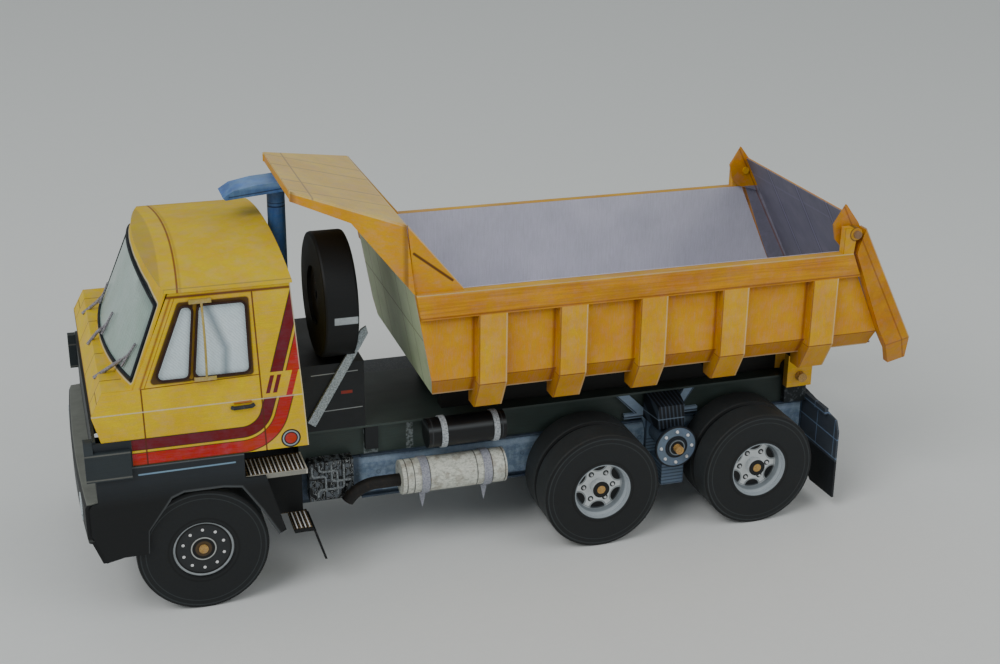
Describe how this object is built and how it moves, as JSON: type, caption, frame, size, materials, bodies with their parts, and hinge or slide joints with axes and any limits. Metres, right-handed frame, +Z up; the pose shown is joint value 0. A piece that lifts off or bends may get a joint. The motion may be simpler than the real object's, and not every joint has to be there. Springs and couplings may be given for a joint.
{
  "type": "card scale model of a dump truck",
  "caption": "Card scale model of a three-axle dump truck with turning wheels on wooden axles, a tipping bed and a top-hung tailgate.",
  "frame": {"origin": "on the floor, in the middle of the model's length and width", "axes": "+Z up, -Y towards the front bumper, +X towards the truck's left side"},
  "size_m": [0.0812, 0.2341, 0.1048],
  "materials": {
    "frame_card": "matte",
    "black_card": "matte",
    "dowel_wood": "matte",
    "cab_card": "satin",
    "window_print": "satin",
    "snorkel_card": "satin",
    "tyre_card": "matte",
    "black_wheel_card": "matte",
    "white_wheel_card": "satin",
    "grey_card": "matte",
    "bed_card": "satin",
    "bed_post_card": "satin",
    "bed_front_card": "satin",
    "bed_inner_card": "matte"
  },
  "bodies": {
    "chassis": {"frame_rails": "frame_card", "subframe": "black_card", "front_dowel": "dowel_wood", "rear_dowels": "dowel_wood", "axle_tubes": "frame_card", "trunnion_discs": "frame_card", "suspension_brackets": "frame_card", "spring_boxes": "black_card", "rear_crossmember": "black_card", "bed_pivot_pin": "dowel_wood", "cab_left_side": "cab_card", "cab_right_side": "cab_card", "cab_nose": "cab_card", "windscreen_frame": "cab_card", "windscreen": "window_print", "side_windows": "window_print", "cab_roof": "cab_card", "cab_back": "cab_card", "cab_floor": "cab_card", "mirror_arms": "cab_card", "bumper": "black_card", "wheel_arches": "black_card", "steps": "black_card", "front_mudflaps": "black_card", "snorkel_pipe": "snorkel_card", "snorkel_head": "snorkel_card", "spare_tyre": "tyre_card", "spare_rim": "black_wheel_card", "spare_box": "black_card", "spare_struts": "grey_card", "valve_panel": "black_card", "air_tank": "black_card", "silencer": "grey_card", "tank_straps": "grey_card", "exhaust_pipe": "black_card", "fuel_tank": "grey_card", "rear_mudflaps": "black_card"},
    "bed": {"bed_floor": "bed_inner_card", "bed_walls": "bed_card", "bed_front_wall": "bed_front_card", "bed_canopy": "bed_front_card", "bed_rails": "bed_card", "bed_posts": "bed_post_card", "bed_stringers": "black_card", "tailgate_brackets": "bed_card"},
    "tailgate": {"tailgate_panel": "bed_inner_card", "tailgate_beams": "bed_card"},
    "front_left": {"front_left_tyre": "tyre_card", "front_left_wheel": "black_wheel_card"},
    "middle_left": {"middle_left_tyres": "tyre_card", "middle_left_wheel": "white_wheel_card"},
    "rear_left": {"rear_left_tyres": "tyre_card", "rear_left_wheel": "white_wheel_card"},
    "front_right": {"front_right_tyre": "tyre_card", "front_right_wheel": "black_wheel_card"},
    "middle_right": {"middle_right_tyres": "tyre_card", "middle_right_wheel": "white_wheel_card"},
    "rear_right": {"rear_right_tyres": "tyre_card", "rear_right_wheel": "white_wheel_card"}
  },
  "joints": [
    {"name": "bed_tip", "type": "hinge", "parent": "chassis", "child": "bed", "pos_m": [0, 0.0894, 0.0374], "axis": [-1, 0, 0], "range_deg": [0, 50]},
    {"name": "tailgate_swing", "type": "hinge", "parent": "bed", "child": "tailgate", "pos_m": [0, 0.0944, 0.0852], "axis": [1, 0, 0], "range_deg": [0, 60]},
    {"name": "front_left_spin", "type": "hinge", "parent": "chassis", "child": "front_left", "pos_m": [0, -0.0876, 0.0169], "axis": [1, 0, 0], "continuous": true},
    {"name": "middle_left_spin", "type": "hinge", "parent": "chassis", "child": "middle_left", "pos_m": [0, 0.0221, 0.0169], "axis": [1, 0, 0], "continuous": true},
    {"name": "rear_left_spin", "type": "hinge", "parent": "chassis", "child": "rear_left", "pos_m": [0, 0.0699, 0.0169], "axis": [1, 0, 0], "continuous": true},
    {"name": "front_right_spin", "type": "hinge", "parent": "chassis", "child": "front_right", "pos_m": [0, -0.0876, 0.0169], "axis": [1, 0, 0], "continuous": true},
    {"name": "middle_right_spin", "type": "hinge", "parent": "chassis", "child": "middle_right", "pos_m": [0, 0.0221, 0.0169], "axis": [1, 0, 0], "continuous": true},
    {"name": "rear_right_spin", "type": "hinge", "parent": "chassis", "child": "rear_right", "pos_m": [0, 0.0699, 0.0169], "axis": [1, 0, 0], "continuous": true}
  ]
}
